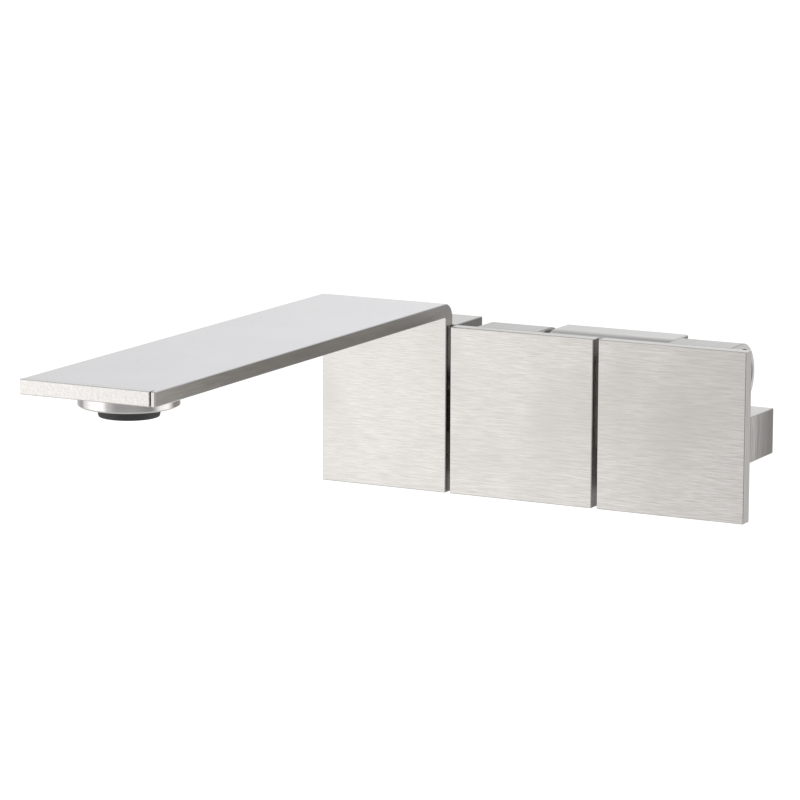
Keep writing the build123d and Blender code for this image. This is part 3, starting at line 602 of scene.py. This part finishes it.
def finished_copy(node, name, finishes, softness, split=None, special=None):
    """The CAD node's shape, merged, with its edges rounded off by the given softness.

    finishes maps 'x', 'y', 'z' and 'round' to materials; 'round' also serves what is missing.
    split is a height to cut the flat faces at, and special gives (test of a face, its material).
    """
    form = bmesh.new()
    form.from_mesh(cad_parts[node].data)
    bmesh.ops.remove_doubles(form, verts=form.verts, dist=SAME_POINT)
    bmesh.ops.dissolve_limit(form, angle_limit=FLAT_ENOUGH, verts=form.verts, edges=form.edges)
    if split is not None:
        everything = form.verts[:] + form.edges[:] + form.faces[:]
        bmesh.ops.bisect_plane(form, geom=everything, plane_co=(0, 0, split), plane_no=(0, 0, 1))
    form.verts.index_update()
    points = [tuple(vert.co) for vert in form.verts]
    faces = [[vert.index for vert in face.verts] for face in form.faces]
    form.free()
    mesh = bpy.data.meshes.new(name)
    mesh.from_pydata(points, [], faces)
    mesh.validate()
    also = [special[1]] if special else []
    materials = list(dict.fromkeys([*finishes.values(), *also]))
    for material in materials:
        mesh.materials.append(material)
    for face in mesh.polygons:
        chosen = finishes.get(facing(face.normal), finishes["round"])
        if special and special[0](face):
            chosen = special[1]
        face.material_index = materials.index(chosen)
    mesh.shade_smooth()
    mesh.set_sharp_from_angle(angle=SHARP)
    piece = new_piece(name, mesh)
    if softness:
        bevel = piece.modifiers.new("edge", "BEVEL")
        bevel.width = softness
        bevel.segments = 2
        bevel.limit_method = "ANGLE"
        bevel.angle_limit = SHARP
        bevel.use_clamp_overlap = True
        bevel.harden_normals = True
    settle(piece)
    return piece


# ================================================================ Geometry Nodes
class GeometryTree:
    """A Geometry Nodes tree under construction, with its named inputs."""

    def __init__(self, name, inputs):
        self.tree = bpy.data.node_groups.new(name, "GeometryNodeTree")
        self.tree.interface.new_socket("Geometry", in_out="INPUT", socket_type="NodeSocketGeometry")
        self.tree.interface.new_socket("Geometry", in_out="OUTPUT", socket_type="NodeSocketGeometry")
        for label, kind, start in inputs:
            made = self.tree.interface.new_socket(label, in_out="INPUT", socket_type="NodeSocket" + kind)
            if start is not None:
                made.default_value = start
        self.given = self.tree.nodes.new("NodeGroupInput").outputs
        self.result = self.tree.nodes.new("NodeGroupOutput")

    def node(self, kind, wires=None, **settings):
        """Add a node; wires maps input names or numbers to sockets or values."""
        made = self.tree.nodes.new(kind)
        for label, value in settings.items():
            setattr(made, label, value)
        for label, value in (wires or {}).items():
            slot = made.inputs[label]
            if isinstance(value, bpy.types.NodeSocket):
                self.tree.links.new(value, slot)
            else:
                slot.default_value = value
        return made

    def output_of(self, kind, wires=None):
        """Add a node and return its first output."""
        return self.node(kind, wires).outputs[0]

    def calculate(self, operation, a, b=None):
        """The output of a Math node on sockets or plain numbers."""
        wires = {0: a} if b is None else {0: a, 1: b}
        return self.node("ShaderNodeMath", wires, operation=operation).outputs[0]

    def finish(self, geometry, material):
        """Make the copies real, give them the material and send them out."""
        real = self.output_of("GeometryNodeRealizeInstances", {"Geometry": geometry})
        painted = self.output_of("GeometryNodeSetMaterial", {"Geometry": real, "Material": material})
        self.tree.links.new(painted, self.result.inputs["Geometry"])
        return self.tree


def grow(piece, tree, values):
    """Run a Geometry Nodes tree on a piece with the given named inputs, and keep the plain mesh."""
    growth = piece.modifiers.new("growth", "NODES")
    growth.node_group = tree
    for socket in tree.interface.items_tree:
        if socket.item_type == "SOCKET" and socket.in_out == "INPUT" and socket.name in values:
            growth[socket.identifier] = values[socket.name]
    settle(piece)


def build_turned_copies():
    """Repeats a shape round the Z axis."""
    net = GeometryTree("turned_copies", [("Count", "Int", 12), ("Material", "Material", None)])
    given = net.given
    points = net.output_of("GeometryNodeMeshLine", {"Count": given["Count"], "Offset": (0, 0, 0)})
    index = net.output_of("GeometryNodeInputIndex")
    angle = net.calculate("DIVIDE", net.calculate("MULTIPLY", index, math.tau), given["Count"])
    turn = net.output_of("ShaderNodeCombineXYZ", {"Z": angle})
    copies = net.output_of(
        "GeometryNodeInstanceOnPoints", {"Points": points, "Instance": given["Geometry"], "Rotation": turn}
    )
    return net.finish(copies, given["Material"])


def build_rows_of_copies():
    """Repeats a shape: Across copies in a row, and Along rows."""
    net = GeometryTree("rows_of_copies", [
        ("Across", "Int", 2), ("Across Step", "Vector", (0.01, 0, 0)),
        ("Along", "Int", 1), ("Along Step", "Vector", (0, 0, 0.01)),
        ("Start", "Vector", (0, 0, 0)), ("Material", "Material", None),
    ])
    given = net.given
    line = net.output_of("GeometryNodeMeshLine", {
        "Count": given["Across"], "Offset": given["Across Step"], "Start Location": given["Start"],
    })
    row = net.output_of("GeometryNodeInstanceOnPoints", {"Points": line, "Instance": given["Geometry"]})
    places = net.output_of("GeometryNodeMeshLine", {"Count": given["Along"], "Offset": given["Along Step"]})
    all_rows = net.output_of("GeometryNodeInstanceOnPoints", {"Points": places, "Instance": row})
    return net.finish(all_rows, given["Material"])


def build_helix():
    """A screw thread's ridge: a square bar wound round the Z axis."""
    net = GeometryTree("thread_ridge", [
        ("Radius", "Float", 0.005), ("Turns", "Float", 8.0), ("Pitch", "Float", 0.001),
        ("Ridge", "Float", 0.0003), ("Material", "Material", None),
    ])
    given = net.given
    length = net.calculate("MULTIPLY", given["Turns"], given["Pitch"])
    coil = net.output_of("GeometryNodeCurveSpiral", {
        "Resolution": 40, "Rotations": given["Turns"], "Start Radius": given["Radius"],
        "End Radius": given["Radius"], "Height": length,
    })
    ridge = net.output_of("GeometryNodeCurvePrimitiveCircle", {"Resolution": 4, "Radius": given["Ridge"]})
    bar = net.output_of(
        "GeometryNodeCurveToMesh", {"Curve": coil, "Profile Curve": ridge, "Fill Caps": True}
    )
    return net.finish(bar, given["Material"])


def build_woven_screen():
    """A round piece of plain woven wire."""
    net = GeometryTree("woven_screen", [
        ("Wires", "Int", 19), ("Pitch", "Float", 0.00075), ("Wire Radius", "Float", 0.00012),
        ("Rise", "Float", 0.00012), ("Disc Radius", "Float", 0.0074), ("Material", "Material", None),
    ])
    given = net.given
    # One wire for each step across the disc, as long as the disc is wide there
    half = net.calculate("DIVIDE", net.calculate("SUBTRACT", given["Wires"], 1.0), 2.0)
    first = net.calculate("MULTIPLY", net.calculate("MULTIPLY", half, given["Pitch"]), -1.0)
    line = net.output_of("GeometryNodeMeshLine", {
        "Count": given["Wires"],
        "Offset": net.output_of("ShaderNodeCombineXYZ", {"Y": given["Pitch"]}),
        "Start Location": net.output_of("ShaderNodeCombineXYZ", {"Y": first}),
    })
    where = net.node("ShaderNodeSeparateXYZ", {0: net.output_of("GeometryNodeInputPosition")}).outputs
    reach_squared = net.calculate(
        "SUBTRACT", net.calculate("MULTIPLY", given["Disc Radius"], given["Disc Radius"]),
        net.calculate("MULTIPLY", where["Y"], where["Y"]),
    )
    reach = net.calculate("SQRT", net.calculate("MAXIMUM", reach_squared, 1e-8))
    wire = net.output_of("GeometryNodeCurvePrimitiveLine", {"Start": (-1, 0, 0), "End": (1, 0, 0)})
    wire = net.output_of("GeometryNodeResampleCurve", {"Curve": wire, "Count": 80})
    size = net.output_of("ShaderNodeCombineXYZ", {"X": reach, "Y": 1.0, "Z": 1.0})
    wires = net.output_of("GeometryNodeInstanceOnPoints", {"Points": line, "Instance": wire, "Scale": size})
    wires = net.output_of("GeometryNodeRealizeInstances", {"Geometry": wires})
    # The wires go over and under, and the second layer crosses the first the other way up
    phases = []
    for axis in ("X", "Y"):
        steps = net.calculate("DIVIDE", where[axis], given["Pitch"])
        phases.append(net.calculate("COSINE", net.calculate("MULTIPLY", steps, math.pi)))
    wave = net.calculate("MULTIPLY", net.calculate("MULTIPLY", *phases), given["Rise"])
    section = net.output_of(
        "GeometryNodeCurvePrimitiveCircle", {"Resolution": 6, "Radius": given["Wire Radius"]}
    )
    layers = []
    for sign, turn in ((1.0, 0.0), (-1.0, math.pi / 2)):
        lift = net.output_of("ShaderNodeCombineXYZ", {"Z": net.calculate("MULTIPLY", wave, sign)})
        woven = net.output_of("GeometryNodeSetPosition", {"Geometry": wires, "Offset": lift})
        bar = net.output_of(
            "GeometryNodeCurveToMesh", {"Curve": woven, "Profile Curve": section, "Fill Caps": True}
        )
        layers.append(net.output_of("GeometryNodeTransform", {"Geometry": bar, "Rotation": (0, 0, turn)}))
    both = net.node("GeometryNodeJoinGeometry")
    for layer in layers:
        net.tree.links.new(layer, both.inputs[0])
    return net.finish(both.outputs[0], given["Material"])


TURNED_COPIES = build_turned_copies()
ROWS = build_rows_of_copies()
HELIX = build_helix()
WEAVE = build_woven_screen()


# ================================================================ turned shapes and screws
ROUND_STEPS = 72
KNURL_DEPTH = 0.04
HEAD_EDGE, SOCKET_LEAD, SCREW_POINT = 0.18, 0.08, 0.4
Screw = namedtuple("Screw", "head_radius head_height socket radius")
M3, M4 = Screw(2.75, 3.0, 2.5, 1.5), Screw(3.5, 4.0, 3.0, 2.0)


def hexagon(width):
    """Radius of a hexagon with that width across flats, as a function of the angle."""
    def radius(angle):
        return width / 2 / math.cos((angle % (math.pi / 3)) - math.pi / 6)
    return radius


def knurled(radius):
    """A radius that rises and falls from step to step."""
    return lambda angle: radius - KNURL_DEPTH * (round(angle / math.tau * ROUND_STEPS) % 2)


def turned_shape(name, rings, material, steps=ROUND_STEPS):
    """A closed shape round Z, built from sizes in millimetres.

    rings are (radius or radius function, height), from the bottom's middle to the top's middle.
    """
    points, faces, starts = [], [], []
    for radius, height in rings:
        starts.append(len(points))
        if radius == 0:
            points.append((0, 0, height))
            continue
        for step in range(steps):
            angle = math.tau * step / steps
            reach = radius(angle) if callable(radius) else radius
            points.append((reach * math.cos(angle), reach * math.sin(angle), height))
    for (low, (low_radius, _)), (high, (high_radius, _)) in zip(
        zip(starts, rings), zip(starts[1:], rings[1:])
    ):
        for step in range(steps):
            after = (step + 1) % steps
            if low_radius == 0:
                faces.append((low, high + after, high + step))
            elif high_radius == 0:
                faces.append((low + step, low + after, high))
            else:
                faces.append((low + step, low + after, high + after, high + step))
    mesh = bpy.data.meshes.new(name)
    mesh.from_pydata([tuple(MM * part for part in point) for point in points], [], faces)
    mesh.materials.append(material)
    mesh.shade_smooth()
    mesh.set_sharp_from_angle(angle=TURNED_SHARP)
    return new_piece(name, mesh)


def socket_screw(name, size, length):
    """A knurled socket head screw, its head below zero and its shank above, standing on Z."""
    rim = size.head_radius - HEAD_EDGE
    top, socket_floor = -size.head_height, -size.head_height / 2
    return turned_shape(name, [
        (0, socket_floor), (hexagon(size.socket), socket_floor), (hexagon(size.socket), top + SOCKET_LEAD),
        (hexagon(size.socket + 2 * SOCKET_LEAD), top), (rim, top),
        (knurled(size.head_radius - 0.3 * HEAD_EDGE), top + 0.3 * HEAD_EDGE),
        (knurled(size.head_radius), top + HEAD_EDGE), (knurled(size.head_radius), -HEAD_EDGE),
        (rim, 0), (size.radius, 0), (size.radius, length - SCREW_POINT),
        (size.radius - SCREW_POINT, length), (0, length),
    ], screw_steel)


def point_along(piece, direction):
    """Turn a shape built on Z so that Z lies along the given direction."""
    piece.data.transform(Vector((0, 0, 1)).rotation_difference(Vector(direction)).to_matrix().to_4x4())
    return piece


def screw_rows(name, node, body, start, step, rows, row_step, direction, size, length):
    """Rows of two screws that stand for a node: start in metres, steps and length in millimetres."""
    screw = point_along(socket_screw(name, size, length), direction)
    grow(screw, ROWS, {
        "Across": 2, "Across Step": Vector(step) * MM, "Along": rows,
        "Along Step": Vector(row_step) * MM, "Start": start, "Material": screw_steel,
    })
    hand_over(screw, body, "screw_steel", node)


# ================================================================ the faucet's pieces
def box_middle(node):
    """The middle of a node's box at rest."""
    low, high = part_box(node)
    return (low + high) / 2


# Finishes by the way a face looks
BAR_FACES = {"y": front_steel, "x": edge_steel, "z": bar_steel, "round": bar_steel}
TIP_FACES = {"y": tip_steel, "x": edge_steel, "z": bar_steel, "round": tip_steel}
# The blocks' side faces get painted shade for the shadowed gaps beside them
BLOCK_FACES = {"y": front_steel, "x": painted_gap_shade_steel, "z": painted_shade_top_steel, "round": painted_shade_top_steel}
RAIL_FACES = {"y": front_steel, "x": rail_end_steel, "z": painted_shade_top_steel, "round": sawn_steel}
# The hot flap's side faces get painted shade for the shadowed gap beside them; the cold flap's stay plain
# brushed steel
FLAP_EDGES = {"hot": painted_gap_shade_steel, "cold": side_steel}

# How far edges are rounded off, in metres
CRISP_EDGE, BROKEN_EDGE, TURNED_EDGE, SHEARED_EDGE = 0.00010, 0.00012, 0.00015, 0.00025

leg_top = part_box("hot_handle_plate")[1].z
spout_middle = box_middle("spout").x


def in_painted_gap_shade(face):
    """The leg's right edge beside the first flap, which gets painted shade for the narrow gap."""
    return face.normal.x > NEARLY_SQUARE and face.center.x > spout_middle and face.center.z < leg_top


# The leg's right edge below the flap tops gets painted shade for the narrow gap
folded_bar = finished_copy(
    "spout", "folded_bar", BAR_FACES, BROKEN_EDGE, split=leg_top, special=(in_painted_gap_shade, painted_gap_shade_steel)
)
hand_over(folded_bar, "root", "brushed_steel", "spout")

# The other fixed pieces: node, piece, finishes, edge and slot
for node, name, finishes, edge, slot in (
    ("spout_end_cap", "tip_plate", TIP_FACES, CRISP_EDGE, "brushed_steel"),
    ("spout_box", "spout_carrier", BLOCK_FACES, BROKEN_EDGE, "brushed_steel"),
    ("valve_body", "centre_block", {**BLOCK_FACES, "round": front_steel}, 0, "brushed_steel"),
    ("wall_rail", "carrier_rail", RAIL_FACES, BROKEN_EDGE, "brushed_steel"),
    ("wall_plate", "back_plate", {"round": rolled_steel}, SHEARED_EDGE, "plate_steel"),
    ("rail_plug", "passage_plug", {"round": plug_brass}, TURNED_EDGE, "brass"),
    ("rail_grub_screws", "grub_screws", {"round": screw_steel}, BROKEN_EDGE, "screw_steel"),
    ("aerator_collar", "outlet_collar", {"round": turned_steel}, TURNED_EDGE, "brushed_steel"),
):
    hand_over(finished_copy(node, name, finishes, edge), "root", slot, node)

# Dark outlet ring, ribbed for the fingers; the ribs lean with its taper and stop short of its edges
RIB_COUNT, RIB_FOOT_RADIUS, RIB_INSET, RING_TAPER = 72, 9.70, 0.45, 0.5
ring_low, ring_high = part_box("aerator_housing")[0].z / MM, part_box("aerator_collar")[0].z / MM
outlet_ring = finished_copy("aerator_housing", "outlet_ring", {"round": dark_plastic}, CRISP_EDGE)
rib_length = ring_high - ring_low - 2 * RIB_INSET
rib = turned_shape("outlet_ribs", [
    (0, 0), (0.15, 0), (0.24, 0.12), (0.24, rib_length - 0.12), (0.15, rib_length), (0, rib_length),
], dark_plastic, 8)
rib.data.transform(Matrix.Rotation(math.atan2(RING_TAPER, ring_high - ring_low), 4, "Y"))
rib.data.transform(Matrix.Translation(Vector((RIB_FOOT_RADIUS * MM, 0, (ring_low + RIB_INSET) * MM))))
grow(rib, TURNED_COPIES, {"Count": RIB_COUNT, "Material": dark_plastic})
rib.data.transform(Matrix.Translation(outlet))
hand_over(outlet_ring, "root", "dark_plastic", "aerator_housing")
hand_over(rib, "root", "dark_plastic")

# Woven screen
woven = new_piece("woven_screen", bpy.data.meshes.new("woven_screen"))
grow(woven, WEAVE, {
    "Wires": 19, "Pitch": 0.75 * MM, "Wire Radius": 0.12 * MM, "Rise": 0.12 * MM,
    "Disc Radius": 7.3 * MM, "Material": screen_steel,
})
woven.data.transform(Matrix.Translation(outlet + Vector((0, 0, box_middle("aerator_screen").z))))
woven.data.shade_smooth()
hand_over(woven, "root", "screen_steel", "aerator_screen")

# Screws that come up through the rail, the leg's four screws and the two in each flap
UPRIGHT_SEAT = 4.4
for node, size, reach in (("valve_body_screws", M3, 20.5), ("spout_box_screws", M4, 18.0)):
    low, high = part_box(node)
    seat = Vector(((low.x + high.x) / 2 - reach * MM, (low.y + high.y) / 2, UPRIGHT_SEAT * MM))
    screw_rows(
        "upright_" + node, node, "root", seat, (2 * reach, 0, 0), 1, (0, 0, 0), (0, 0, 1),
        size, high.z / MM - UPRIGHT_SEAT,
    )
LEG_SCREW_STEP, LEG_ROW_STEP, FLAP_SCREW_STEP = (36.0, 0, 0), (0, 0, 8.0), (10.5, 0, 0)
low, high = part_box("spout_screws")
seat_y = high.y - M4.head_height * MM
seat = Vector((low.x + M4.head_radius * MM, seat_y, low.z + M4.head_radius * MM))
screw_rows(
    "leg_screws", "spout_screws", "root", seat, LEG_SCREW_STEP, 2, LEG_ROW_STEP, (0, -1, 0),
    M4, (seat_y - low.y) / MM,
)
for side in SIDES:
    node = side + "_plate_screws"
    low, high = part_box(node)
    seat_y = high.y - M3.head_height * MM
    seat = Vector((low.x + M3.head_radius * MM, seat_y, (low.z + high.z) / 2))
    screw_rows(
        side + "_flap_screws", node, side + "_handle", seat, FLAP_SCREW_STEP, 1, (0, 0, 0), (0, -1, 0),
        M3, (seat_y - low.y) / MM,
    )

# Rubber bumpers with a domed face, two behind each flap
BUMPER_RADIUS, BUMPER_SPACING = 3.0, 36.0
bumper_rings = [(0, 0), (2.75, 0), (3.0, 0.2), (3.0, 1.6), (2.9, 1.8), (2.5, 1.93), (1.5, 1.98), (0, 2.0)]
low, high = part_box("rest_bumpers")
bumpers = point_along(turned_shape("flap_bumpers", bumper_rings, rubber, 40), (0, -1, 0))
pair_gap = (high.x - low.x) / MM - 2 * BUMPER_RADIUS - BUMPER_SPACING
grow(bumpers, ROWS, {
    "Across": 2, "Across Step": Vector((BUMPER_SPACING, 0, 0)) * MM, "Along": 2,
    "Along Step": Vector((pair_gap, 0, 0)) * MM,
    "Start": Vector((low.x + BUMPER_RADIUS * MM, high.y, (low.z + high.z) / 2)), "Material": rubber,
})
hand_over(bumpers, "root", "rubber", "rest_bumpers")

# Thread ridges in the two inlets
INLET_OFFSET, THREAD_START = 12.0, 0.5
block_x = box_middle("valve_body").x
rail_low, rail_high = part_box("wall_rail")
for side, sign in SIDES.items():
    thread = new_piece(side + "_inlet_thread", bpy.data.meshes.new(side + "_inlet_thread"))
    grow(thread, HELIX, {
        "Radius": 5.95 * MM, "Turns": 9.0, "Pitch": 1.0 * MM, "Ridge": 0.42 * MM, "Material": sawn_steel,
    })
    point_along(thread, (0, -1, 0))
    thread.data.transform(Matrix.Translation(Vector((
        block_x + sign * INLET_OFFSET * MM, rail_high.y - THREAD_START * MM, (rail_low.z + rail_high.z) / 2
    ))))
    hand_over(thread, "root", "brushed_steel")

# Flaps and hubs
for side in SIDES:
    flap_faces = {"y": front_steel, "x": FLAP_EDGES[side], "z": painted_shade_top_steel, "round": front_steel}
    for part, name, finishes, edge in (
        ("_handle_plate", "_flap", flap_faces, BROKEN_EDGE),
        ("_handle_hub", "_barrel", {"x": faced_steel, "round": hub_steel}, 0),
        ("_hub_cap", "_barrel_cap", {"round": faced_steel}, BROKEN_EDGE),
    ):
        moving = finished_copy(side + part, side + name, finishes, edge)
        hand_over(moving, side + "_handle", "brushed_steel", side + part)

# Pieces that keep their CAD shape
FINISH_OF = {
    "aerator_insert": pale_plastic, "aerator_washer": rubber, "rail_seals": rubber, "spout_seal": rubber,
}
for side in SIDES:
    for part, finish in (
        ("base_seal", rubber), ("stem_seals", rubber), ("fixed_disc", ceramic), ("moving_disc", ceramic),
        ("cartridge_sleeve", brass), ("cartridge_nut", brass), ("stem", brass),
        ("thrust_washer", slide_plastic), ("hub_screw", screw_steel),
    ):
        FINISH_OF[f"{side}_{part}"] = finish
for node, finish in FINISH_OF.items():
    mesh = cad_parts[node].data
    mesh.materials.clear()
    mesh.materials.append(finish)
